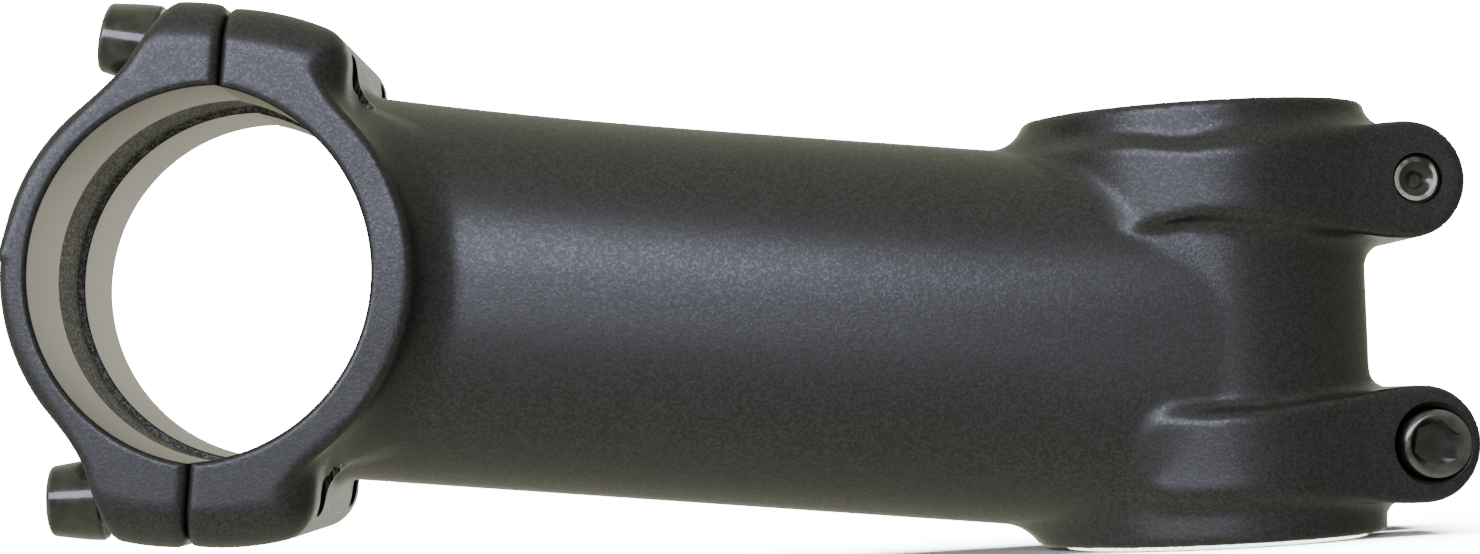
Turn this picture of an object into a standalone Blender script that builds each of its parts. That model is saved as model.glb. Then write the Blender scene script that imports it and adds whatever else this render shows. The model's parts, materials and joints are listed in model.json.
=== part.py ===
"""Threadless bicycle handlebar stem: forged body, faceplate, four faceplate bolts and two pinch bolts.

The steerer axis is +Z, with the origin at the centre of the collar's lower face, and +X points
forward, towards the handlebar. Points on the extension and the bar clamp are given in the stem's
own axes: s runs along the extension from the steerer axis, y is sideways and t is square to both.
"""

import math

import bmesh
import bpy
from mathutils import Matrix, Vector

# Driving sizes, in metres and degrees.
EXTENSION = 0.098
RISE = 7.0
AXIS_HEIGHT = 0.0185
STACK = 0.0418
COLLAR_RADIUS = 0.0166
STEERER_RADIUS = 0.01435
BAR_RADIUS = 0.0175
CLAMP_WIDTH = 0.042
CLOSING = 0.0034
SPLIT = 0.0958
RING_WALL = 0.0031
FACEPLATE_WALL = 0.0026
GROOVE_WIDTH = 0.0128
GROOVE_DEPTH = 0.0006
TUBE_HALF_WIDTH = 0.0165
TUBE_HALF_HEIGHT = 0.01805
TUBE_SQUARENESS = 2.6
CLAMP_HALF_HEIGHT = 0.0252
BOLT_SIDE = 0.013
BOLT_LEAN = 6.0
UPPER_SEAT = (0.1026, 0.0214)
LOWER_SEAT = (0.1042, -0.0215)
PINCH_X = -0.0193
PINCH_HEIGHTS = (0.0336, 0.0083)
EAR_CENTRE_X = -0.0186
EAR_RADIUS = 0.0057
EAR_HALF_WIDTH = 0.0109
PINCH_SEAT = 0.0078
SLOT_WIDTH = 0.0024

# M5 screws with tapered heads. The shank is the thread's outside less its running clearance.
SHANK_RADIUS = 0.0024
HEAD_BASE_RADIUS = 0.00385
HEAD_RIM_RADIUS = 0.0032
HEAD_FLAT_RADIUS = 0.0027
HEAD_LENGTH = 0.0052
HEAD_EDGE = 0.0006
HEX_ACROSS_FLATS = 0.004
HEX_DEPTH = 0.0026
FACEPLATE_BOLT_LENGTH = 0.016
PINCH_BOLT_LENGTH = 0.019
THREAD_HOLE_RADIUS = 0.00282
CLEARANCE_HOLE_RADIUS = 0.0031
SPOT_FACE_RADIUS = 0.0043
GAP = 0.0003

HALF_WIDTH = CLAMP_WIDTH / 2
RING_RADIUS = BAR_RADIUS + RING_WALL
FACEPLATE_CENTRE = EXTENSION - CLOSING
FACEPLATE_RADIUS = BAR_RADIUS + FACEPLATE_WALL
TO_STEM = Matrix.Translation((0, 0, AXIS_HEIGHT)) @ Matrix.Rotation(math.radians(-RISE), 4, "Y")


def in_stem(s, y, t):
    """A point in the stem's axes, as a world point."""
    return TO_STEM @ Vector((s, y, t))


def side_view(s, t, y):
    return in_stem(s, y, t)


def end_view(y, t, s):
    return in_stem(s, y, t)


def plan_view(x, y, z):
    return Vector((x, y, z))


def elevation(x, z, y):
    return Vector((x, y, z))


def arc(centre_u, centre_v, radius, start, end, steps):
    """Points on an arc, with its angles in degrees."""
    angles = [math.radians(start + (end - start) * i / steps) for i in range(steps + 1)]
    return [(centre_u + radius * math.cos(a), centre_v + radius * math.sin(a)) for a in angles]


def make_object(name, shape):
    """A mesh object from a bmesh, with its faces turned outwards."""
    bmesh.ops.recalc_face_normals(shape, faces=shape.faces)
    mesh = bpy.data.meshes.new(name)
    shape.to_mesh(mesh)
    shape.free()
    made = bpy.data.objects.new(name, mesh)
    bpy.context.scene.collection.objects.link(made)
    return made


def prism(name, outline, place, low, high, edge=0.0):
    """A flat outline extruded from low to high. Its two rims are bevelled where edge is given."""
    shape = bmesh.new()
    bottom = [shape.verts.new(place(u, v, low)) for u, v in outline]
    top = [shape.verts.new(place(u, v, high)) for u, v in outline]
    count = len(outline)
    caps = [shape.faces.new(bottom), shape.faces.new(top)]
    for i in range(count):
        j = (i + 1) % count
        shape.faces.new((bottom[i], bottom[j], top[j], top[i]))
    if edge:
        rims = {e for cap in caps for e in cap.edges}
        bmesh.ops.recalc_face_normals(shape, faces=shape.faces)
        bmesh.ops.bevel(shape, geom=list(rims), offset=edge, segments=2, profile=0.5, affect="EDGES")
    return make_object(name, shape)


def lofted(name, rings):
    """A closed solid through rings of points that all have the same count."""
    shape = bmesh.new()
    loops = [[shape.verts.new(p) for p in ring] for ring in rings]
    shape.faces.new(loops[0])
    shape.faces.new(loops[-1])
    for near, far in zip(loops, loops[1:]):
        for i in range(len(near)):
            j = (i + 1) % len(near)
            shape.faces.new((near[i], near[j], far[j], far[i]))
    return make_object(name, shape)


def turned(name, profile, segments, place=None):
    """A solid of revolution about local Z, from (radius, height) points between its two ends."""
    rings = []
    for radius, height in profile:
        circle = arc(0, 0, radius, 0, 360 - 360 / segments, segments - 1)
        rings.append([Vector((x, y, height)) for x, y in circle])
    made = lofted(name, rings)
    if place is not None:
        made.data.transform(place)
    return made


def along(start, direction):
    """The matrix that takes local Z onto a direction and the local origin onto a point."""
    return Matrix.Translation(start) @ direction.to_track_quat("Z", "Y").to_matrix().to_4x4()


def use(target, operation, tool):
    """Adds a Boolean to the target and marks its tool as a guide."""
    modifier = target.modifiers.new(tool.name, "BOOLEAN")
    modifier.operation = operation
    modifier.solver = "EXACT"
    modifier.object = tool
    tool.hide_render = True
    tool.display_type = "WIRE"


def finish(target, material):
    """Gives a sub-part its material and smooth shading with crisp edges."""
    target.data.materials.append(material)
    target.data.shade_smooth()
    target.data.set_sharp_from_angle(angle=math.radians(30))


def make_material(name, colour, roughness, metallic):
    made = bpy.data.materials.new(name)
    made.use_nodes = True
    shader = made.node_tree.nodes["Principled BSDF"]
    shader.inputs["Base Color"].default_value = (*colour, 1.0)
    shader.inputs["Roughness"].default_value = roughness
    shader.inputs["Metallic"].default_value = metallic
    return made


def bolt_direction(side):
    """The outward direction of a faceplate bolt: +1 above the stem axis, -1 below it."""
    lean = math.radians(BOLT_LEAN)
    local = Vector((math.cos(lean), 0, side * math.sin(lean)))
    return (TO_STEM.to_3x3() @ local).normalized()


def bolt_places():
    """Name, seat point and outward direction of each faceplate bolt."""
    places = []
    for height, side, seat in (("upper", 1, UPPER_SEAT), ("lower", -1, LOWER_SEAT)):
        for hand, y in (("near", BOLT_SIDE), ("far", -BOLT_SIDE)):
            name = f"faceplate_bolt_{height}_{hand}"
            places.append((name, in_stem(seat[0], y, seat[1]), bolt_direction(side)))
    return places


def pinch_places():
    """Name, seat point and outward direction of each pinch bolt. The two face opposite ways."""
    upper = Vector((PINCH_X, -PINCH_SEAT, PINCH_HEIGHTS[0]))
    lower = Vector((PINCH_X, PINCH_SEAT, PINCH_HEIGHTS[1]))
    return [
        ("pinch_bolt_upper", upper, Vector((0, -1, 0))),
        ("pinch_bolt_lower", lower, Vector((0, 1, 0))),
    ]


def tube_ring(s, half_width, half_height):
    """One oval section of the extension, square to the stem axis."""
    power = 2 / TUBE_SQUARENESS
    points = []
    for i in range(40):
        angle = 2 * math.pi * i / 40
        c, d = math.cos(angle), math.sin(angle)
        y = half_width * math.copysign(abs(c) ** power, c)
        t = half_height * math.copysign(abs(d) ** power, d)
        points.append(in_stem(s, y, t))
    return points


def extension_tube():
    """The oval extension, which flares into the bar clamp."""
    rings = []
    for s in (0.001, 0.015, 0.035, 0.055, 0.065, 0.072, 0.0745, 0.0762, 0.0774, 0.0785):
        side_flare = 0.0043 * max(0.0, (s - 0.062) / 0.0165) ** 3
        top_flare = 0.00085 * max(0.0, (s - 0.035) / 0.046) ** 3
        rings.append(tube_ring(s, TUBE_HALF_WIDTH + side_flare, TUBE_HALF_HEIGHT + top_flare))
    shoulder = TUBE_HALF_WIDTH + 0.0043
    for s, rise in ((0.081, 0.0009), (0.0833, 0.0021), (0.0847, 0.0038), (0.0865, 0.0045)):
        rings.append(tube_ring(s, shoulder, TUBE_HALF_HEIGHT + rise))
    return lofted("extension_tube", rings)


def extension_core():
    """The hollow of the extension, open to the steerer bore and the bar bore."""
    sections = (
        (0.002, 0.0085, 0.0115),
        (0.013, 0.0085, 0.0115),
        (0.020, 0.0130, 0.0148),
        (0.068, 0.0132, 0.0148),
        (0.077, 0.0100, 0.0115),
        (0.090, 0.0100, 0.0115),
    )
    return lofted("extension_core", [tube_ring(*section) for section in sections])


def clamp_section(name, low, high):
    """The clamp's cross-section: flat sides, round shoulders, and a valley between the bosses."""
    corner = 0.0047
    shoulder_y = HALF_WIDTH - corner
    shoulder_t = CLAMP_HALF_HEIGHT - corner
    valley_depth = 0.0026
    quarter = arc(shoulder_y, shoulder_t, corner, 0, 90, 5)
    for i in range(7):
        share = i / 6
        drop = valley_depth * (1 - math.cos(math.pi * share)) / 2
        quarter.append((0.0095 - 0.006 * share, CLAMP_HALF_HEIGHT - drop))
    left = [(-y, t) for y, t in reversed(quarter)]
    above = quarter + left
    below = [(y, -t) for y, t in reversed(above)]
    return prism(name, above + below, end_view, low, high)


def clamp_block():
    """The rear half of the bar clamp with its four bosses, before it is bored."""
    boss_end = 0.0847
    angle = math.degrees(math.acos((boss_end - EXTENSION) / RING_RADIUS))
    ring = arc(EXTENSION, 0, RING_RADIUS, angle, 360 - angle, 20)
    top = [(SPLIT, 0.0252), (0.0918, 0.0249), (0.0882, 0.0241), (0.0863, 0.0231)]
    top += [(0.0852, 0.0217), (boss_end, 0.0199)]
    bottom = [(s, -t) for s, t in reversed(top)]
    block = prism("clamp_block", top + ring + bottom, side_view, -HALF_WIDTH, HALF_WIDTH, 0.0008)
    use(block, "INTERSECT", clamp_section("clamp_block_section", 0.070, 0.100))
    return block


def steerer_collar():
    """The collar that grips the steerer tube."""
    rim = 0.0005
    profile = (
        (COLLAR_RADIUS - rim, 0.0),
        (COLLAR_RADIUS, rim),
        (COLLAR_RADIUS, STACK - rim),
        (COLLAR_RADIUS - rim, STACK),
    )
    return turned("steerer_collar", profile, 72)


def pinch_band(name, height):
    """One ear pair with the raised band that runs forward round the collar."""
    band_radius = 0.0176
    front_x = 0.0035
    front_radius = 0.0042
    back = EAR_CENTRE_X - EAR_RADIUS
    side = [(back, 0.0088), (back + 0.0013, 0.0103), (PINCH_X, EAR_HALF_WIDTH)]
    side += arc(0, 0, band_radius, 114, 60, 9)
    plan = side + [(x, -y) for x, y in reversed(side)]
    band = prism(name, plan, plan_view, height - 0.0065, height + 0.0065)
    slope = math.degrees(math.asin((EAR_RADIUS - front_radius) / (front_x - EAR_CENTRE_X)))
    rear_arc = arc(EAR_CENTRE_X, height, EAR_RADIUS, 90 - slope, 270 + slope, 16)
    front_arc = arc(front_x, height, front_radius, slope - 90, 90 - slope, 8)
    use(band, "INTERSECT", prism(name + "_profile", rear_arc + front_arc, elevation, -0.02, 0.02))
    return band


def bar_bore(name, centre, groove):
    """The cutter of one bore half, with or without the shallow groove round its middle."""
    across = along(in_stem(centre, 0, 0), Vector((0, 1, 0)))
    if groove:
        half = GROOVE_WIDTH / 2
        profile = ((BAR_RADIUS + GROOVE_DEPTH, -half), (BAR_RADIUS + GROOVE_DEPTH, half))
        return turned(name, profile, 96, across)
    edge = 0.0006
    out = HALF_WIDTH + 0.002
    profile = (
        (BAR_RADIUS + edge, -out),
        (BAR_RADIUS + edge, -HALF_WIDTH),
        (BAR_RADIUS, edge - HALF_WIDTH),
        (BAR_RADIUS, HALF_WIDTH - edge),
        (BAR_RADIUS + edge, HALF_WIDTH),
        (BAR_RADIUS + edge, out),
    )
    return turned(name, profile, 96, across)


def drill(name, start, direction, radius, low, high):
    """A round cutter along an axis, from low to high past its start point."""
    return turned(name, ((radius, low), (radius, high)), 24, along(start, direction))


def stem_body(material):
    """The one-piece body: extension, rear clamp half, collar and slotted ears."""
    body = extension_tube()
    body.name = "stem_body"
    for tool in (clamp_block(), steerer_collar()):
        use(body, "UNION", tool)
    for name, height in zip(("upper_band", "lower_band"), PINCH_HEIGHTS):
        use(body, "UNION", pinch_band(name, height))
    ahead = [(SPLIT, -0.04), (0.14, -0.04), (0.14, 0.04), (SPLIT, 0.04)]
    use(body, "DIFFERENCE", prism("split_cut", ahead, side_view, -0.03, 0.03))
    use(body, "DIFFERENCE", bar_bore("body_bore", EXTENSION, False))
    use(body, "DIFFERENCE", bar_bore("body_groove", EXTENSION, True))
    use(body, "DIFFERENCE", extension_core())
    steerer = ((STEERER_RADIUS, -0.002), (STEERER_RADIUS, STACK + 0.002))
    use(body, "DIFFERENCE", turned("steerer_bore", steerer, 72))
    half_slot = SLOT_WIDTH / 2
    slot = [(-0.03, -half_slot), (-0.010, -half_slot), (-0.010, half_slot), (-0.03, half_slot)]
    use(body, "DIFFERENCE", prism("slot_cut", slot, plan_view, -0.002, STACK + 0.002))
    for name, seat, direction in bolt_places():
        hole = drill(name + "_hole", seat, direction, THREAD_HOLE_RADIUS, -0.024, 0.001)
        use(body, "DIFFERENCE", hole)
    for name, seat, direction in pinch_places():
        hole = drill(name + "_hole", seat, direction, THREAD_HOLE_RADIUS, -0.03, 0.001)
        use(body, "DIFFERENCE", hole)
        spot = drill(name + "_spot_face", seat, direction, SPOT_FACE_RADIUS, 0.0, 0.012)
        use(body, "DIFFERENCE", spot)
    finish(body, material)


def faceplate_outline():
    """The faceplate's side view: ring, and a shallower boss above than below."""
    back = SPLIT + GAP
    upper = [(back, 0.0252), (0.0993, 0.0257), (0.1026, 0.0254), (0.1061, 0.0182)]
    lower = [(0.1074, -0.0178), (0.1041, -0.0253), (0.0992, -0.0257), (back, -0.0252)]
    start = math.degrees(math.atan2(0.0158, 0.1072 - FACEPLATE_CENTRE))
    end = math.degrees(math.atan2(-0.0147, 0.1082 - FACEPLATE_CENTRE))
    return upper + arc(FACEPLATE_CENTRE, 0, FACEPLATE_RADIUS, start, end, 22) + lower


def faceplate(material):
    """The front half of the bar clamp, with four bolt holes and their seats."""
    plate = prism("faceplate", faceplate_outline(), side_view, -HALF_WIDTH, HALF_WIDTH, 0.0008)
    use(plate, "INTERSECT", clamp_section("faceplate_section", 0.090, 0.120))
    use(plate, "DIFFERENCE", bar_bore("faceplate_bore", FACEPLATE_CENTRE, False))
    use(plate, "DIFFERENCE", bar_bore("faceplate_groove", FACEPLATE_CENTRE, True))
    for name, seat, direction in bolt_places():
        hole = drill(name + "_clearance", seat, direction, CLEARANCE_HOLE_RADIUS, -0.012, 0.001)
        use(plate, "DIFFERENCE", hole)
        spot = drill(name + "_seat", seat, direction, SPOT_FACE_RADIUS, 0.0, 0.012)
        use(plate, "DIFFERENCE", spot)
    finish(plate, material)


def screw_mesh(name, length):
    """One screw along local Z, with the underside of its head just above the origin."""
    top = GAP + HEAD_LENGTH
    profile = (
        (0.0017, -length),
        (SHANK_RADIUS, 0.0006 - length),
        (SHANK_RADIUS, GAP),
        (HEAD_BASE_RADIUS, GAP),
        (HEAD_BASE_RADIUS, GAP + 0.0004),
        (HEAD_RIM_RADIUS, top - HEAD_EDGE),
        (HEAD_FLAT_RADIUS, top),
    )
    screw = turned(name, profile, 24)
    corner = HEX_ACROSS_FLATS / math.sqrt(3)
    socket = ((corner, top - HEX_DEPTH), (corner, top + 0.001))
    use(screw, "DIFFERENCE", turned(name + "_socket", socket, 6))
    return screw


def place_screw(name, length, seat, direction, material):
    """A screw object whose own origin lies on its axis, at its seat."""
    screw = screw_mesh(name, length)
    place = along(seat, direction)
    socket = screw.modifiers[0].object
    socket.matrix_world = place
    screw.matrix_world = place
    finish(screw, material)


def main():
    for old in list(bpy.data.objects):
        bpy.data.objects.remove(old)
    black = make_material("satin_black", (0.018, 0.018, 0.019), 0.42, 0.4)
    steel = make_material("black_steel", (0.03, 0.029, 0.028), 0.22, 0.85)
    stem_body(black)
    faceplate(black)
    for name, seat, direction in bolt_places():
        place_screw(name, FACEPLATE_BOLT_LENGTH, seat, direction, steel)
    for name, seat, direction in pinch_places():
        place_screw(name, PINCH_BOLT_LENGTH, seat, direction, steel)


main()
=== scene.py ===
"""The looks of a threadless bicycle stem: forged body, faceplate, four faceplate bolts and two pinch bolts.

Shapes are worked out in millimetres in the stem's own axes: s runs along the extension from the
steerer axis, y is sideways, and t is square to both. Each finished mesh is then taken to metres
in the frame's axes, where +Z is the steerer axis and +X points forward.
"""

import json
import math

import bmesh
import bpy
import numpy as np
import openvdb
from mathutils import Matrix, Vector

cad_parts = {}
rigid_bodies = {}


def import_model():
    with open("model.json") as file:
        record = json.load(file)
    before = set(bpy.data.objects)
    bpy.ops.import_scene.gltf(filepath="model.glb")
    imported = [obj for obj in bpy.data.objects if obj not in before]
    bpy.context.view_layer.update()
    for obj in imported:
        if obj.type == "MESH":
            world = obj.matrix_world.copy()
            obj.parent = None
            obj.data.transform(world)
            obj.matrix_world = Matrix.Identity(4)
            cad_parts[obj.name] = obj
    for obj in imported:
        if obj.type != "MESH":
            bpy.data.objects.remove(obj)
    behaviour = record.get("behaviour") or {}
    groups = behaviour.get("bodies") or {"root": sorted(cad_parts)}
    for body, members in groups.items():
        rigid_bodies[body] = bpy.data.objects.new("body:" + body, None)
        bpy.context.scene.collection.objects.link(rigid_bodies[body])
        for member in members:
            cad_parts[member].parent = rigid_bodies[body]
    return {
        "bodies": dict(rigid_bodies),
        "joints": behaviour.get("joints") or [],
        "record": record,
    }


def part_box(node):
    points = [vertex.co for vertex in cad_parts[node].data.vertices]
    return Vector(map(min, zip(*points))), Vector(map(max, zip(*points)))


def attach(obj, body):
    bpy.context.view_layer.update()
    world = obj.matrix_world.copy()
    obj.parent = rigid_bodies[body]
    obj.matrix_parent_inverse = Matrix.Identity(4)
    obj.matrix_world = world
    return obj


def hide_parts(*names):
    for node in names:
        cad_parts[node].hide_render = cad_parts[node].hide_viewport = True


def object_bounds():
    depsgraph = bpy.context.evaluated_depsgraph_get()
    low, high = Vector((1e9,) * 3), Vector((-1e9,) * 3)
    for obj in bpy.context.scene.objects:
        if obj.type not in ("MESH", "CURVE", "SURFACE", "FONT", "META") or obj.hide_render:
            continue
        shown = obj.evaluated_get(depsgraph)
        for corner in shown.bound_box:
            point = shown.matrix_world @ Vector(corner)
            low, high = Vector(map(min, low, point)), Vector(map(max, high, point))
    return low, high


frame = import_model()
cad_box = [list(corner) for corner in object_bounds()]
joints = {joint["name"]: joint for joint in frame["joints"]}
mounts = {mount["name"]: mount for mount in frame["record"]["mounts"]}


# ---------------------------------------------------------------------------------------------
# Stem body. One aluminium forging: an oval hollow extension, the rear half of the bar clamp with
# four threaded bosses, and the steerer collar with two pairs of ears. It is forged to a soft,
# blended outer skin, then bored, slotted, drilled and tapped.

MILLIMETRE = 0.001
body_cell = 0.5
sharp_angle = math.radians(50)
slide_axis = joints["faceplate_slide"]["axis"]
rise = math.atan2(slide_axis[2], slide_axis[0])
cos_rise, sin_rise = math.cos(rise), math.sin(rise)
stack = mounts["collar_upper_face"]["pos_m"][2] / MILLIMETRE
axis_height = 18.5
collar_radius = 16.6
steerer_radius = 14.35
bar_radius = 17.5
clamp_half_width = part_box("stem_body")[1].y / MILLIMETRE
closing = 3.4
bar_centre = 98.0
bore_relief_half = 6.4
split = 95.8
pinch_names = ("pinch_bolt_upper", "pinch_bolt_lower")
pinch_bolts = {name: sum(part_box(name), Vector()) / 2 / MILLIMETRE for name in pinch_names}
pinch_heights = [centre.z for centre in pinch_bolts.values()]
stem_to_frame = (
    Matrix.Translation((0, 0, axis_height * MILLIMETRE))
    @ Matrix.Rotation(-rise, 4, "Y")
    @ Matrix.Scale(MILLIMETRE, 4)
)


def filleted(a, b, radius):
    """Two shapes joined, with a concave round where they meet."""
    round_part = np.hypot(np.maximum(radius - a, 0), np.maximum(radius - b, 0))
    return np.maximum(radius, np.minimum(a, b)) - round_part


def rounded(a, b, radius):
    """What two shapes share, with a convex round along their common edge."""
    round_part = np.hypot(np.maximum(radius + a, 0), np.maximum(radius + b, 0))
    return np.minimum(-radius, np.maximum(a, b)) + round_part


def ease(value, low, high):
    """0 below low, 1 above high, and a smooth step between them."""
    share = np.clip((value - low) / (high - low), 0, 1)
    return share * share * (3 - 2 * share)


def extension_tube(s, y, t):
    """Distance to the oval extension, which swells a little towards the clamp."""
    near_collar = np.clip((55 - s) / 55, 0, 1.1)
    near_clamp = np.clip((s - 35) / 46, 0, 1.2)
    squareness = 3.0 - 0.4 * ease(s, 0, 25)
    half_width = 17.4 - 1.45 * near_collar**2.5
    half_height = np.where(t > 0, 18.05 + 0.85 * near_clamp**3, 18.5)
    reach = np.abs(y / half_width) ** squareness + np.abs(t / half_height) ** squareness
    reach = np.maximum(reach, 1e-9) ** (1 / squareness)
    wall = np.hypot(y, t) * (1 - 1 / reach)
    return np.maximum(wall, np.maximum(s - 90, -1 - s))


def rear_clamp(s, y, t):
    """Distance to the rear half of the bar clamp, solid, with one full-width boss above and below."""
    ring_radius, ring_edge = 21.1, 0.6
    crown_centre, crown_radius = 94.5, np.where(t > 0, 25.1, 25.2)
    nose, nose_round = 84.3, np.where(t > 0, 2.2, 2.6)
    boss_edge, boss_fillet = 4.2, 1.5
    side = np.abs(y) - clamp_half_width
    ring = rounded(np.hypot(s - bar_centre, t) - ring_radius, side, ring_edge)
    crown = np.hypot(s - crown_centre, t) - crown_radius
    boss = rounded(crown, nose - s, nose_round)
    return np.maximum(filleted(ring, rounded(boss, side, boss_edge), boss_fillet), side)


def collar(x, y, z):
    """Distance to the steerer collar, relieved at the back between its ears."""
    waist_depth = 0.6
    relief_x, relief_lean, relief_half, relief_round, relief_edge = 15.35, 0.05, 7.0, 2.4, 0.6
    waist = ease(z, 4, 9) * (1 - ease(z, 32, 38))
    barrel = np.hypot(x, y) - collar_radius + waist_depth * waist
    solid = np.maximum(barrel, np.abs(z - stack / 2) - stack / 2 - 1)
    above_middle = z - sum(pinch_heights) / 2
    back = x + relief_x + relief_lean * above_middle
    relief = rounded(back, np.abs(above_middle) - relief_half, relief_round)
    return rounded(solid, -relief, relief_edge)


def pinch_band(x, y, z, height, middle, waist, front_x, front):
    """Distance to one ear pair and the raised band that carries it forward round the collar.

    The band's half height goes from the ear's radius to a waist beside the axis, then to its front's.
    """
    band_radius, band_edge = 17.6, 0.9
    ear_x, ear_radius, ear_half_width, ear_fillet = -18.5, 5.6, 10.9, 3.0
    side = np.abs(y)
    spine = np.clip(x, ear_x, front_x)
    past_ear = ease(spine, ear_x, -1.0)
    past_waist = ease(spine, 2.0, 10.0)
    half = ear_radius + (waist - ear_radius) * past_ear + (front - waist) * past_waist
    level = height + (middle - height) * past_ear
    drop = np.hypot(x - spine, z - level) - half
    lean = math.radians(24)
    ahead = x * math.cos(lean) + side * math.sin(lean)
    square = side * math.cos(lean) - x * math.sin(lean)
    wing = np.where(ahead > 0, np.hypot(x, y), square) - band_radius
    cheek = np.maximum(side - ear_half_width, x + 8)
    return rounded(drop, filleted(wing, cheek, ear_fillet), band_edge)


def forged_body(s, y, t):
    """Distance to the body's outer skin, before any machining."""
    x = s * cos_rise - t * sin_rise
    z = axis_height + s * sin_rise + t * cos_rise
    side, level = np.abs(y), np.abs(t)
    least_round, face_edge, split_edge = 0.08, 0.5, 0.8
    neck_round = (1.7 + 2.6 * (1 - ease(side, 3, 11))) * ease(level, 4, 11) * ease(s, 1, 9)
    neck_round = neck_round + least_round
    body = filleted(extension_tube(s, y, t), collar(x, y, z), neck_round)
    past_collar = 24 - x
    above = np.minimum(z - stack, past_collar)
    below = np.minimum(-z, past_collar)
    body = rounded(rounded(body, above, face_edge), below, face_edge)
    upper, lower = pinch_heights
    upper_round, lower_round = 1.1 + 1.6 * ease(-x, -5, 4), 1.6
    body = filleted(body, pinch_band(x, y, z, upper, 34.1, 3.35, 15.0, 4.3), upper_round)
    body = filleted(body, pinch_band(x, y, z, lower, 8.4, 4.0, 6.2, 3.9), lower_round)
    flank_round, top_round = 4.8, 2.0 + 4.0 * ease(side, 8, 14)
    shoulder_round = flank_round + (top_round - flank_round) * ease(level, 8, 15)
    body = filleted(body, rear_clamp(s, y, t), shoulder_round)
    return rounded(body, s - split, split_edge)


def skin(name, distance, low, high, cell):
    """The surface where a distance is zero, as a mesh in the frame's axes, in metres."""
    counts = [int(math.ceil((b - a) / cell)) + 1 for a, b in zip(low, high)]
    lines = [a + cell * np.arange(n) for a, n in zip(low, counts)]
    s, y, t = np.meshgrid(*lines, indexing="ij", sparse=True)
    field = np.broadcast_to(distance(s, y, t), counts).astype(np.float32)
    grid = openvdb.FloatGrid()
    grid.copyFromArray(np.ascontiguousarray(field))
    points, quads = grid.convertToQuads(0.0)
    points = points.astype(float) * cell + np.array(low)
    for _ in range(3):
        points = settled(points, distance)
    mesh = bpy.data.meshes.new(name)
    mesh.from_pydata(points.tolist(), [], quads.tolist())
    made = bpy.data.objects.new(name, mesh)
    bpy.context.scene.collection.objects.link(made)
    mesh.transform(stem_to_frame)
    face_outwards(made)
    return made


def settled(points, distance):
    """The points moved along the distance's slope, on to the true surface."""
    step, farthest = 0.05, 0.2
    here = distance(*points.T)
    slope = np.empty_like(points)
    for axis in range(3):
        ahead, behind = points.copy(), points.copy()
        ahead[:, axis] += step
        behind[:, axis] -= step
        slope[:, axis] = (distance(*ahead.T) - distance(*behind.T)) / (2 * step)
    length = np.maximum((slope**2).sum(1), 0.05)
    move = slope * (here / length)[:, None]
    return points - np.clip(move, -farthest, farthest)


def face_outwards(made):
    """Turns every face of a closed mesh outwards."""
    shape = bmesh.new()
    shape.from_mesh(made.data)
    bmesh.ops.recalc_face_normals(shape, faces=shape.faces)
    shape.to_mesh(made.data)
    shape.free()


def lofted(name, rings):
    """A closed solid through rings of points that all have the same count."""
    shape = bmesh.new()
    loops = [[shape.verts.new(p) for p in ring] for ring in rings]
    shape.faces.new(loops[0])
    shape.faces.new(loops[-1])
    for near, far in zip(loops, loops[1:]):
        for i in range(len(near)):
            j = (i + 1) % len(near)
            shape.faces.new((near[i], near[j], far[j], far[i]))
    bmesh.ops.recalc_face_normals(shape, faces=shape.faces)
    mesh = bpy.data.meshes.new(name)
    shape.to_mesh(mesh)
    shape.free()
    made = bpy.data.objects.new(name, mesh)
    bpy.context.scene.collection.objects.link(made)
    return made


def turned(name, profile, place, segments=192):
    """A cutter turned about an axis: (radius, height) points, and the matrix that places it."""
    angles = [2 * math.pi * i / segments for i in range(segments)]
    rings = [[place @ Vector((r * math.cos(a), r * math.sin(a), h)) for a in angles] for r, h in profile]
    return lofted(name, rings)


def machined(target, cutters):
    """Cuts the shapes out of the target one by one and leaves a plain mesh."""
    for cutter in cutters:
        modifier = target.modifiers.new(cutter.name, "BOOLEAN")
        modifier.operation = "DIFFERENCE"
        modifier.solver = "MANIFOLD"
        modifier.object = cutter
    bpy.context.view_layer.update()
    evaluated = target.evaluated_get(bpy.context.evaluated_depsgraph_get())
    mesh = bpy.data.meshes.new_from_object(evaluated)
    target.modifiers.clear()
    target.data = mesh
    for cutter in cutters:
        bpy.data.objects.remove(cutter)


def bore_profile(radius, half_length, lip):
    """A bore's cutter that opens out in a small round lip at both faces."""
    steps = 5
    upper = []
    for i in range(steps + 1):
        angle = math.pi / 2 * i / steps
        upper.append((radius + lip * (1 - math.cos(angle)), half_length - lip + lip * math.sin(angle)))
    upper.append((radius + lip, half_length + 3))
    return [(r, -h) for r, h in reversed(upper)] + upper


def across(centre):
    """The matrix of an axis across the clamp, square to the stem's middle plane."""
    quarter_turn = Matrix.Rotation(math.radians(-90), 4, "X")
    return stem_to_frame @ Matrix.Translation((centre, 0, 0)) @ quarter_turn


def clamp_bore(name, centre):
    """The bar bore and the shallow relief round its middle."""
    lip, overlap, relief_depth, relief_round = 0.55, 0.2, 0.6, 0.35
    bore = turned(name, bore_profile(bar_radius, clamp_half_width, lip), across(centre))
    groove = [
        (bar_radius - overlap, -bore_relief_half),
        (bar_radius, -bore_relief_half),
        (bar_radius + relief_depth, -bore_relief_half + relief_round),
        (bar_radius + relief_depth, bore_relief_half - relief_round),
        (bar_radius, bore_relief_half),
        (bar_radius - overlap, bore_relief_half),
    ]
    return [bore, turned(name + "_relief", groove, across(centre))]


def along(start, direction):
    """The matrix that takes local Z in millimetres on to a direction from a point in metres."""
    turn = Vector(direction).to_track_quat("Z", "Y").to_matrix().to_4x4()
    return Matrix.Translation(start) @ turn @ Matrix.Scale(MILLIMETRE, 4)


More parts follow.
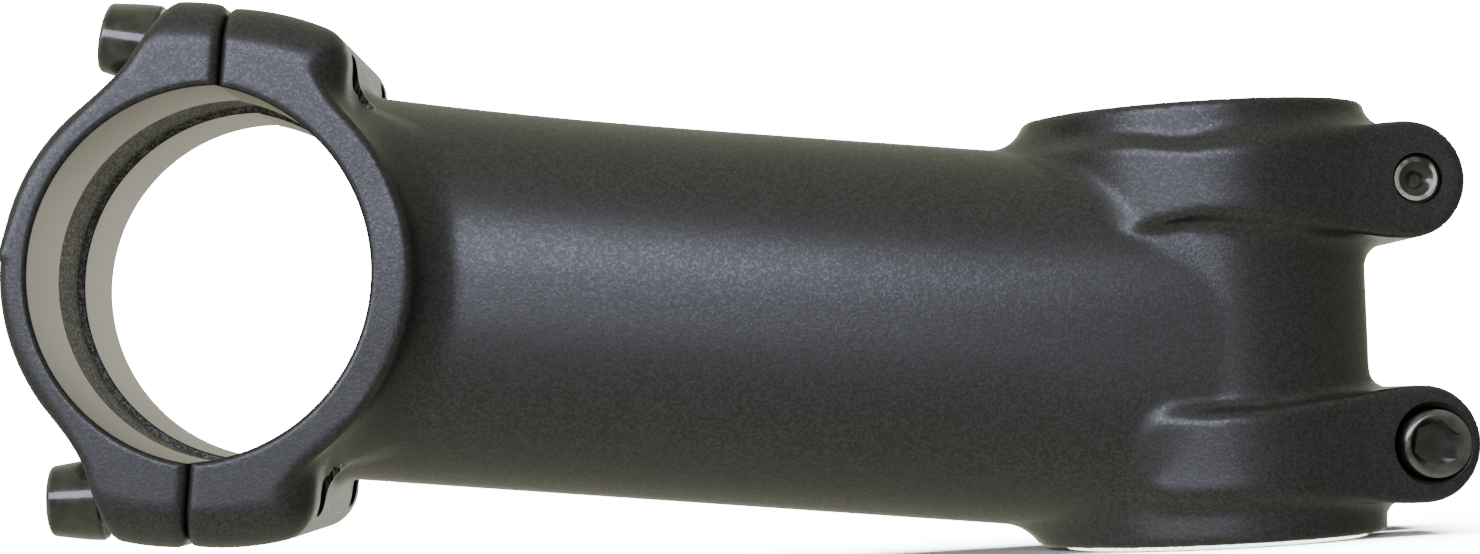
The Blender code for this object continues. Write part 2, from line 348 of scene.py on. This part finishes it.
def hollow_core():
    """The inside of the extension, open to the steerer bore and the bar bore."""
    sections = (
        (2, 8.5, 11.5), (12, 8.5, 11.5), (14, 9.2, 12.1), (17, 11.6, 13.8), (20, 13.0, 14.8),
        (68, 13.2, 14.8), (71, 12.4, 14.0), (75, 10.4, 12.1), (77, 10.0, 11.5), (90, 10.0, 11.5),
    )
    count, corner = 64, 0.77
    rings = []
    for s, half_width, half_height in sections:
        ring = []
        for i in range(count):
            angle = 2 * math.pi * i / count
            c, d = math.cos(angle), math.sin(angle)
            y = half_width * math.copysign(abs(c) ** corner, c)
            t = half_height * math.copysign(abs(d) ** corner, d)
            ring.append(stem_to_frame @ Vector((s, y, t)))
        rings.append(ring)
    return lofted("hollow_core", rings)


def tapped_hole(name, place, play, low, high, thread_low, thread_high):
    """The cutter of a drilled hole whose thread shows between two heights.

    The play lets the screw ride sideways with the faceplate, which doesn't open along the hole.
    """
    crest, root, pitch = 2.62, 2.2, 0.8
    plain = 2.52 + play
    profile = [(plain, high), (plain, thread_high + 0.1), (crest, thread_high)]
    count = int((thread_high - thread_low) / pitch)
    for i in range(count):
        top = thread_high - i * pitch
        profile += [(crest, top - 0.1), (root, top - 0.42), (root, top - 0.48), (crest, top - 0.78)]
    profile.append((crest, low))
    return turned(name, list(reversed(profile)), place, 48)


faceplate_bolts = [name for name in frame["bodies"] if name.startswith("faceplate_bolt")]
bolt_seats = {}
for name in faceplate_bolts:
    hinge = joints[name + "_turn"]
    bolt_seats[name] = (Vector(hinge["pos_m"]), Vector(hinge["axis"]))
pinch_seat = 7.8
for name, centre in pinch_bolts.items():
    axis = Vector(joints[name + "_slide"]["axis"])
    seat = Vector((centre.x, axis.y * pinch_seat, centre.z)) * MILLIMETRE
    bolt_seats[name] = (seat, axis)

stem_body = skin("stem_body_skin", forged_body, (-29, -23, -27), (98, 23, 28), body_cell)
cuts = clamp_bore("body_bore", bar_centre)
cuts.append(hollow_core())
steerer_axis = Matrix.Translation((0, 0, stack / 2 * MILLIMETRE)) @ Matrix.Scale(MILLIMETRE, 4)
cuts.append(turned("steerer_bore", bore_profile(steerer_radius, stack / 2, 0.35), steerer_axis))
slot_half, slot_back, slot_front = 1.2, -32, -10
slot_corners = [(slot_back, -1), (slot_front, -1), (slot_front, 1), (slot_back, 1)]
slot = [[Vector((x, y * slot_half, z)) * MILLIMETRE for x, y in slot_corners] for z in (-4, stack + 4)]
cuts.append(lofted("slot", slot))
for name in faceplate_bolts:
    play = closing * Vector(slide_axis).cross(bolt_seats[name][1]).length
    cuts.append(tapped_hole(name + "_hole", along(*bolt_seats[name]), play, -25, 1, -24, -16.3))
pinch_hole = [(2.46, -30), (2.46, 1)]
spot_face = [(3.5, 0), (3.5, 2.7), (3.58, 2.92), (3.76, 3.08), (4.0, 3.14), (4.0, 12)]
for name in pinch_names:
    place = along(*bolt_seats[name])
    cuts.append(turned(name + "_hole", pinch_hole, place, 64))
    cuts.append(turned(name + "_spot_face", spot_face, place, 96))
machined(stem_body, cuts)
stem_body.data.shade_smooth()
stem_body.data.set_sharp_from_angle(angle=sharp_angle)


# ---------------------------------------------------------------------------------------------
# Satin black paint, over bare machined metal. The forging is painted before the bar seats are
# bored, so the seats are bare. The lips beside them stay black, and the shallow relief between
# them has a coarser blasted finish, coloured grey as a painted sheen on its black paint.

class Value:
    """A shader socket that takes part in plain arithmetic."""

    def __init__(self, tree, socket):
        self.tree, self.socket = tree, socket

    def node(self, kind, settings=(), output=0, **inputs):
        """Any node: its settings first, then the values or links of its sockets."""
        made = self.tree.nodes.new(kind)
        for key, setting in dict(settings).items():
            setattr(made, key, setting)
        for key, value in inputs.items():
            name = key.replace("_", " ")
            socket = made.inputs[int(name[1:])] if name[1:].isdigit() else made.inputs[name]
            if isinstance(value, Value):
                self.tree.links.new(value.socket, socket)
            else:
                socket.default_value = value
        return Value(self.tree, made.outputs[output])

    def maths(self, operation, other=0.0, clamp=False):
        """This value and another, put through a maths node."""
        return self.node("ShaderNodeMath", {"operation": operation, "use_clamp": clamp}, i0=self, i1=other)

    def __add__(self, other):
        return self.maths("ADD", other)

    def __mul__(self, other):
        return self.maths("MULTIPLY", other)

    def __sub__(self, other):
        return self.maths("SUBTRACT", other)

    def __rsub__(self, other):
        return self.node("ShaderNodeMath", {"operation": "SUBTRACT"}, i0=other, i1=self)

    def __truediv__(self, other):
        return self.maths("DIVIDE", other)

    __radd__, __rmul__ = __add__, __mul__

    def step(self, low, high):
        """0 below low and 1 above high."""
        settings = {"interpolation_type": "SMOOTHSTEP"}
        return self.node("ShaderNodeMapRange", settings, Value=self, From_Min=low, From_Max=high)


def new_material(name):
    """A material with its shader, its tree and the object's own coordinates."""
    made = bpy.data.materials.new(name)
    made.use_nodes = True
    tree = made.node_tree
    shader = tree.nodes["Principled BSDF"]
    place = Value(tree, tree.nodes.new("ShaderNodeTexCoord").outputs["Object"])
    return made, shader, place


def feed(shader, name, value):
    """Links a varying value to one of the shader's sockets."""
    value.tree.links.new(value.socket, shader.inputs[name])


def blended(mask, first, second):
    """A colour that goes from first to second as the mask goes from 0 to 1."""
    settings = {"data_type": "RGBA"}
    return mask.node("ShaderNodeMix", settings, 2, i0=mask, i6=first, i7=second)


def painted_forging(name, seat_centre):
    """Satin black paint with a fine metallic fleck, and bare seats round the bar's axis."""
    made, shader, place = new_material(name)
    shader.inputs["Coat Roughness"].default_value = 0.34
    shader.inputs["Specular IOR Level"].default_value = 0.5
    fleck = place.node("ShaderNodeTexVoronoi", {"feature": "F1"}, 1, Vector=place, Scale=5200.0)
    fleck = fleck.node("ShaderNodeSeparateColor", i0=fleck)
    cloud = place.node("ShaderNodeTexNoise", Vector=place, Scale=220.0, Detail=3.0)
    grain = place.node("ShaderNodeTexNoise", Vector=place, Scale=3000.0, Detail=2.0)
    bright = fleck.step(0.25, 1.0)
    paint = blended(bright, (0.0095, 0.0095, 0.0088, 1), (0.052, 0.052, 0.060, 1))
    paint_rough = 0.37 + cloud * 0.06 - bright * 0.10
    centre = stem_to_frame @ Vector((seat_centre, 0, 0))
    apart = place.node("ShaderNodeVectorMath", {"operation": "SUBTRACT"}, i0=place, i1=centre)
    parts = apart.node("ShaderNodeSeparateXYZ", i0=apart)
    x, y, z = (Value(parts.tree, parts.socket.node.outputs[i]) for i in range(3))
    radius = (x * x + z * z).maths("SQRT")
    side = y.maths("ABSOLUTE")
    depth = radius - bar_radius * MILLIMETRE
    relief_edge = bore_relief_half * MILLIMETRE
    past_relief = side.step(relief_edge + 0.00002, relief_edge + 0.00008)
    past_land = side.step(0.02044, 0.0205)
    seats = (1.0 - depth.maths("ABSOLUTE").step(0.00004, 0.00009)) * past_relief * (1.0 - past_land)
    relief = depth.step(0.00008, 0.00014) * (1.0 - depth.step(0.0008, 0.0009)) * (1.0 - past_relief)
    turning = place.node("ShaderNodeMapping", i0=place, Scale=(60.0, 9000.0, 60.0))
    lines = place.node("ShaderNodeTexNoise", Vector=turning, Scale=1.0, Detail=2.0)
    metal = blended(lines, (0.30, 0.285, 0.26, 1), (0.44, 0.42, 0.39, 1))
    # The relief's black blasted paint, lightened to grey with lighter grains: painted sheen and glints.
    blasted_with_sheen = blended(bright, (0.07, 0.07, 0.067, 1), (0.34, 0.34, 0.325, 1))
    paint = blended(relief, paint, blasted_with_sheen)
    feed(shader, "Base Color", blended(seats, paint, metal))
    rough = paint_rough * (1.0 - seats) + (0.36 + lines * 0.16) * seats
    feed(shader, "Roughness", rough + relief * 0.3)
    feed(shader, "Metallic", bright * 0.55 * (1.0 - seats) + seats * 0.9)
    feed(shader, "Coat Weight", (1.0 - seats) * (1.0 - relief) * 0.22)
    height = (grain * 0.7 + fleck * 0.3) * (1.0 - seats + relief * 4.0) + lines * seats * 0.35
    bump = place.node("ShaderNodeBump", Height=height, Strength=0.45, Distance=0.00006)
    feed(shader, "Normal", bump)
    return made


stem_body.data.materials.clear()
stem_body.data.materials.append(painted_forging("body_paint", bar_centre))
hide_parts("stem_body")
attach(stem_body, "stem_body")


# ---------------------------------------------------------------------------------------------
# Faceplate. The front half of the bar clamp, forged and machined like the body and painted with
# it. Its bosses are cut back on a slant, and each bolt head sits in a flat-bottomed recess.

faceplate_centre = bar_centre - closing
faceplate_radius = 20.1
split_gap = 0.1
faceplate_cell = 0.4


def front_clamp(s, y, t):
    """Distance to the faceplate's outer skin, before it is bored."""
    ring_edge, slant_edge, boss_fillet, split_edge = 1.2, 0.8, 1.6, 1.1
    crown_centre, crown_radius, crown_edge, valley_depth = 98.5, 25.45, 4.4, 2.6
    side = np.abs(y) - clamp_half_width
    valley = 1 - ease(np.abs(y), 3.5, 9.5)
    ring = rounded(np.hypot(s - faceplate_centre, t) - faceplate_radius, side, ring_edge)
    crown = np.hypot(s - crown_centre, t) - (crown_radius - valley_depth * valley)
    upper_slant = 0.8846 * s + 0.4664 * t - 101.25
    lower_slant = 0.930 * s - 0.3686 * t - 104.95
    slant = np.where(t > 0, upper_slant, lower_slant)
    boss = rounded(rounded(crown, side, crown_edge), slant, slant_edge)
    shell = np.maximum(filleted(ring, boss, boss_fillet), side)
    return rounded(shell, split + split_gap - s, split_edge)


faceplate = skin("faceplate_skin", front_clamp, (93, -23, -28), (118, 23, 28), faceplate_cell)
cuts = clamp_bore("faceplate_bore", faceplate_centre)
clearance_hole = [(2.9, -14), (2.9, 1)]
head_recess = [(4.3, 0), (4.3, 12)]
for name in faceplate_bolts:
    place = along(*bolt_seats[name])
    cuts.append(turned(name + "_clearance", clearance_hole, place, 64))
    cuts.append(turned(name + "_seat", head_recess, place, 96))
machined(faceplate, cuts)
faceplate.data.shade_smooth()
faceplate.data.set_sharp_from_angle(angle=sharp_angle)
faceplate.data.materials.clear()
faceplate.data.materials.append(painted_forging("faceplate_paint", faceplate_centre))
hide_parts("faceplate")
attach(faceplate, "faceplate")


# ---------------------------------------------------------------------------------------------
# Screws. Six M5 socket screws of black steel: a cold-headed tapered head with a hexagon socket,
# and a rolled thread with a pointed, dished end. One Geometry Nodes tree makes them all.

lengths = {name: 16.0 if name in faceplate_bolts else 19.0 for name in bolt_seats}
screw_sharp_angle = math.radians(35)


def screw_tree():
    """The tree that turns, threads and places one screw, with its sizes as named inputs."""
    tree = bpy.data.node_groups.new("socket_screw", "GeometryNodeTree")
    tree.interface.new_socket("Geometry", in_out="OUTPUT", socket_type="NodeSocketGeometry")
    for name, value in (
        ("Shank Length", 16.0), ("Thread Radius", 2.4), ("Thread Depth", 0.40), ("Pitch", 0.8),
        ("Base Radius", 3.85), ("Rim Radius", 3.2), ("Head Length", 5.2), ("Rim Round", 0.5),
        ("Head Gap", 0.3), ("Socket Radius", 2.31), ("Socket Depth", 2.6),
    ):
        socket = tree.interface.new_socket(name, in_out="INPUT", socket_type="NodeSocketFloat")
        socket.default_value = value
    for name in ("Seat", "Turn"):
        tree.interface.new_socket(name, in_out="INPUT", socket_type="NodeSocketVector")
    tree.interface.new_socket("Steel", in_out="INPUT", socket_type="NodeSocketMaterial")
    sizes = tree.nodes.new("NodeGroupInput")
    given = {socket.name: Value(tree, socket) for socket in sizes.outputs if socket.name}
    start = given["Seat"]
    place = start.node("GeometryNodeInputPosition")
    parts = place.node("ShaderNodeSeparateXYZ", i0=place)
    x, y, z = (Value(tree, parts.socket.node.outputs[i]) for i in range(3))
    reach = (x * x + y * y).maths("SQRT")

    def barrel(radius, length, sides, bands, rings):
        """A closed cylinder that stands on the origin."""
        whole = start.node(
            "GeometryNodeMeshCylinder", {"fill_type": "NGON"}, Vertices=sides, Side_Segments=bands,
            Fill_Segments=rings, Radius=radius, Depth=length,
        )
        lift = start.node("ShaderNodeCombineXYZ", Z=length * 0.5)
        return start.node("GeometryNodeTransform", Geometry=whole, Translation=lift)

    def reshaped(shape, widen, rise_by):
        """The shape with its points moved outwards by a factor and upwards by a distance."""
        moved = start.node("ShaderNodeCombineXYZ", X=x * widen, Y=y * widen, Z=z + rise_by)
        return start.node("GeometryNodeSetPosition", Geometry=shape, Position=moved)

    radius, length, gap = given["Thread Radius"], given["Shank Length"], given["Head Gap"]
    into_head, point_cut, dish_depth = 0.4, 0.42, 1.0
    shank = barrel(radius, length + gap + into_head, 48, 190, 5)
    angle = y.maths("ARCTAN2", x) / (2 * math.pi)
    phase = (z / given["Pitch"] - angle).maths("FRACT")
    flank = ((phase * 2.0 - 1.0).maths("ABSOLUTE") * 1.4 - 0.2).maths("ADD", 0.0, True)
    groove = (1.0 - flank) * given["Thread Depth"] * (1.0 - z.step(length - 1.2, length - 0.4))
    point = (1.0 - z.step(-0.3, 0.6)) * point_cut
    cut = groove.maths("MAXIMUM", point)
    dish = (1.0 - (reach / (radius * 0.7)).step(0.0, 1.0)) * dish_depth
    at_end = 1.0 - z.step(0.0, 0.01)
    shank = reshaped(shank, 1.0 - cut / radius * (reach / radius).step(0.5, 1.0), dish * at_end)
    down = start.node("ShaderNodeCombineXYZ", Z=length * -1.0)
    shank = start.node("GeometryNodeTransform", Geometry=shank, Translation=down)

    base, head_length, rim_round = given["Base Radius"], given["Head Length"], given["Rim Round"]
    head = barrel(base, head_length, 96, 52, 6)
    taper = base - (base - given["Rim Radius"]) * (z / head_length).step(0.04, 1.3)
    over = ((z - head_length + rim_round) / rim_round).maths("MAXIMUM", 0.0).maths("MINIMUM", 1.0)
    shrink = rim_round * (1.0 - (1.0 - over * over).maths("MAXIMUM", 0.0).maths("SQRT"))
    under = (1.0 - z.step(0.0, 0.35)) * 0.18
    head = reshaped(head, (taper - shrink - under) / base, 0.0)
    up = start.node("ShaderNodeCombineXYZ", Z=gap)
    head = start.node("GeometryNodeTransform", Geometry=head, Translation=up)

    socket_depth, socket_turn, mouth_depth = given["Socket Depth"], (0, 0, 0.31), 0.55
    socket = barrel(given["Socket Radius"], socket_depth + 1.0, 6, 1, 1)
    floor_at = start.node("ShaderNodeCombineXYZ", Z=gap + head_length - socket_depth)
    socket = start.node(
        "GeometryNodeTransform", Geometry=socket, Translation=floor_at, Rotation=socket_turn
    )
    mouth = barrel(1.0, 0.8, 96, 1, 1)
    mouth = reshaped(mouth, 2.0 + z * 1.1, 0.0)
    mouth_at = start.node("ShaderNodeCombineXYZ", Z=gap + head_length - mouth_depth)
    mouth = start.node("GeometryNodeTransform", Geometry=mouth, Translation=mouth_at)

    union = {"operation": "UNION", "solver": "EXACT"}
    joined = start.node("GeometryNodeMeshBoolean", union, Mesh_2=head)
    tree.links.new(shank.socket, joined.socket.node.inputs["Mesh 2"])
    difference = {"operation": "DIFFERENCE", "solver": "EXACT"}
    cut_out = start.node("GeometryNodeMeshBoolean", difference, Mesh_1=joined, Mesh_2=socket)
    tree.links.new(mouth.socket, cut_out.socket.node.inputs["Mesh 2"])
    scale = (MILLIMETRE, MILLIMETRE, MILLIMETRE)
    small = start.node("GeometryNodeTransform", Geometry=cut_out, Scale=scale)
    stood = start.node("GeometryNodeTransform", Geometry=small, Translation=start, Rotation=given["Turn"])
    real = start.node("GeometryNodeRealizeInstances", Geometry=stood)
    steel = start.node("GeometryNodeSetMaterial", Geometry=real, Material=given["Steel"])
    end = tree.nodes.new("NodeGroupOutput")
    tree.links.new(steel.socket, end.inputs["Geometry"])
    return tree


def black_steel(name, seat, direction, length):
    """Oiled black steel, glossy, lighter on the head's rim and round the thread's point: worn steel and a
    painted reflection.
    """
    rim_wear_and_glint, point_length = 0.25, 0.4
    made, shader, place = new_material(name)
    shader.inputs["Coat Roughness"].default_value = 0.09
    cloud = place.node("ShaderNodeTexNoise", Vector=place, Scale=500.0, Detail=4.0)
    spots = place.node("ShaderNodeTexNoise", Vector=place, Scale=2600.0, Detail=2.0)
    colour = blended(cloud.step(0.35, 0.7), (0.012, 0.011, 0.010, 1), (0.040, 0.038, 0.034, 1))
    apart = place.node("ShaderNodeVectorMath", {"operation": "SUBTRACT"}, i0=place, i1=seat)
    level = place.node("ShaderNodeVectorMath", {"operation": "DOT_PRODUCT"}, 1, i0=apart, i1=direction)
    reach = place.node("ShaderNodeVectorMath", {"operation": "LENGTH"}, 1, i0=apart)
    across_by = (reach * reach - level * level).maths("MAXIMUM", 0.0).maths("SQRT")
    # The head's rim and the thread's point are lightened: partly wear, partly a painted reflection of
    # bright surroundings.
    rim = level.step(0.0048, 0.0053) * across_by.step(0.0024, 0.0030)
    point_high = (point_length - length) * MILLIMETRE
    point_wear_and_glint = 1.0 - level.step(point_high, point_high + point_length * MILLIMETRE)
    tip = point_wear_and_glint * across_by.step(0.0016, 0.00175)
    wear_and_glint = (rim * rim_wear_and_glint + tip).maths("MINIMUM", 1.0) * cloud.step(0.3, 0.55)
    feed(shader, "Base Color", blended(wear_and_glint, colour, (0.42, 0.40, 0.37, 1)))
    feed(shader, "Roughness", 0.14 + cloud * 0.16 + wear_and_glint * 0.12)
    feed(shader, "Metallic", (0.3 + spots * 0.2) * (1.0 - wear_and_glint) + wear_and_glint)
    feed(shader, "Coat Weight", 0.6 + cloud * 0.4)
    bump = place.node("ShaderNodeBump", Height=cloud * 0.6 + spots * 0.4, Strength=0.4, Distance=0.00008)
    feed(shader, "Normal", bump)
    return made


tree = screw_tree()
inputs = {item.name: item.identifier for item in tree.interface.items_tree if item.in_out == "INPUT"}
for name, (seat, direction) in bolt_seats.items():
    seed = bpy.data.meshes.new(name + "_seed")
    maker = bpy.data.objects.new(name + "_maker", seed)
    bpy.context.scene.collection.objects.link(maker)
    modifier = maker.modifiers.new("screw", "NODES")
    modifier.node_group = tree
    modifier[inputs["Shank Length"]] = lengths[name]
    modifier[inputs["Seat"]] = seat
    modifier[inputs["Turn"]] = direction.to_track_quat("Z", "Y").to_euler()
    modifier[inputs["Steel"]] = black_steel(name + "_steel", seat, direction, lengths[name])
    if name in pinch_bolts:
        modifier[inputs["Base Radius"]] = 3.42
        modifier[inputs["Rim Radius"]] = 3.22
        modifier[inputs["Socket Depth"]] = 3.1
    bpy.context.view_layer.update()
    evaluated = maker.evaluated_get(bpy.context.evaluated_depsgraph_get())
    mesh = bpy.data.meshes.new_from_object(evaluated)
    bpy.data.objects.remove(maker)
    screw = bpy.data.objects.new(name + "_screw", mesh)
    bpy.context.scene.collection.objects.link(screw)
    mesh.shade_smooth()
    mesh.set_sharp_from_angle(angle=screw_sharp_angle)
    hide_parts(name)
    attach(screw, name)


# ---------------------------------------------------------------------------------------------
# Studio. A pale floor under the part, a broad cool window in front of it and a dim surround.

floor = bpy.data.objects.new("floor", bpy.data.meshes.new("floor"))
bpy.context.scene.collection.objects.link(floor)
floor_radius, floor_gap = 0.5, 0.0004
shape = bmesh.new()
bmesh.ops.create_circle(shape, cap_ends=True, segments=96, radius=floor_radius)
shape.to_mesh(floor.data)
shape.free()
floor.data.transform(Matrix.Translation((0.05, 0, cad_box[0][2] - floor_gap)))
floor_paint = bpy.data.materials.new("floor_paint")
floor_paint.use_nodes = True
floor_shader = floor_paint.node_tree.nodes["Principled BSDF"]
floor_shader.inputs["Base Color"].default_value = (0.9, 0.9, 0.9, 1)
floor_shader.inputs["Roughness"].default_value = 0.9
floor.data.materials.append(floor_paint)
floor.visible_glossy = False
floor.visible_diffuse = False

camera = bpy.data.objects.new("camera", bpy.data.cameras.new("camera"))
bpy.context.scene.collection.objects.link(camera)
camera.location = (0.04994, 0.30252, 0.01585)
camera.rotation_euler = [math.radians(a) for a in (92.324, 3.079, 179.303)]
camera.data.lens = 74.51
camera.data.sensor_width = 36.0
camera.data.clip_start = 0.01
bpy.context.scene.camera = camera


def area_light(name, place, aim, size, power, colour):
    """A soft light at a place, turned towards a point."""
    light = bpy.data.lights.new(name, "AREA")
    light.shape = "RECTANGLE"
    light.size, light.size_y = size
    light.energy = power
    light.color = colour
    made = bpy.data.objects.new(name, light)
    bpy.context.scene.collection.objects.link(made)
    made.location = place
    made.rotation_euler = (Vector(aim) - Vector(place)).to_track_quat("-Z", "Y").to_euler()
    return made


middle = (0.05, 0.0, 0.027)
area_light("window", (0.33, 0.68, 0.235), middle, (0.95, 0.24), 6.3, (0.76, 0.79, 1.0))
area_light("back_paper", (-0.10, -0.75, 0.03), middle, (0.7, 0.5), 0.9, (1.0, 0.98, 0.90))
floor_lamp = area_light("floor_lamp", (0.05, 0.0, 1.1), middle, (1.6, 1.6), 400.0, (1.0, 1.0, 1.0))
lit_by_lamp = bpy.data.collections.new("floor_only")
lit_by_lamp.objects.link(floor)
floor_lamp.light_linking.receiver_collection = lit_by_lamp

world = bpy.data.worlds.new("surround")
bpy.context.scene.world = world
world.use_nodes = True
nodes, links = world.node_tree.nodes, world.node_tree.links
room, paper = nodes["Background"], nodes.new("ShaderNodeBackground")
room.inputs["Color"].default_value = (1.0, 1.0, 0.76, 1)
towards = Value(world.node_tree, nodes.new("ShaderNodeTexCoord").outputs["Generated"])
ahead = towards.node("ShaderNodeSeparateXYZ", i0=towards)
upwards = Value(ahead.tree, ahead.socket.node.outputs["Z"])
links.new((0.48 + ahead * 0.20 + upwards * upwards * 0.35).socket, room.inputs["Strength"])
paper.inputs["Strength"].default_value = 30.0
light_path, mixed = nodes.new("ShaderNodeLightPath"), nodes.new("ShaderNodeMixShader")
links.new(light_path.outputs["Is Camera Ray"], mixed.inputs["Fac"])
links.new(room.outputs["Background"], mixed.inputs[1])
links.new(paper.outputs["Background"], mixed.inputs[2])
links.new(mixed.outputs["Shader"], nodes["World Output"].inputs["Surface"])

bpy.context.view_layer.update()
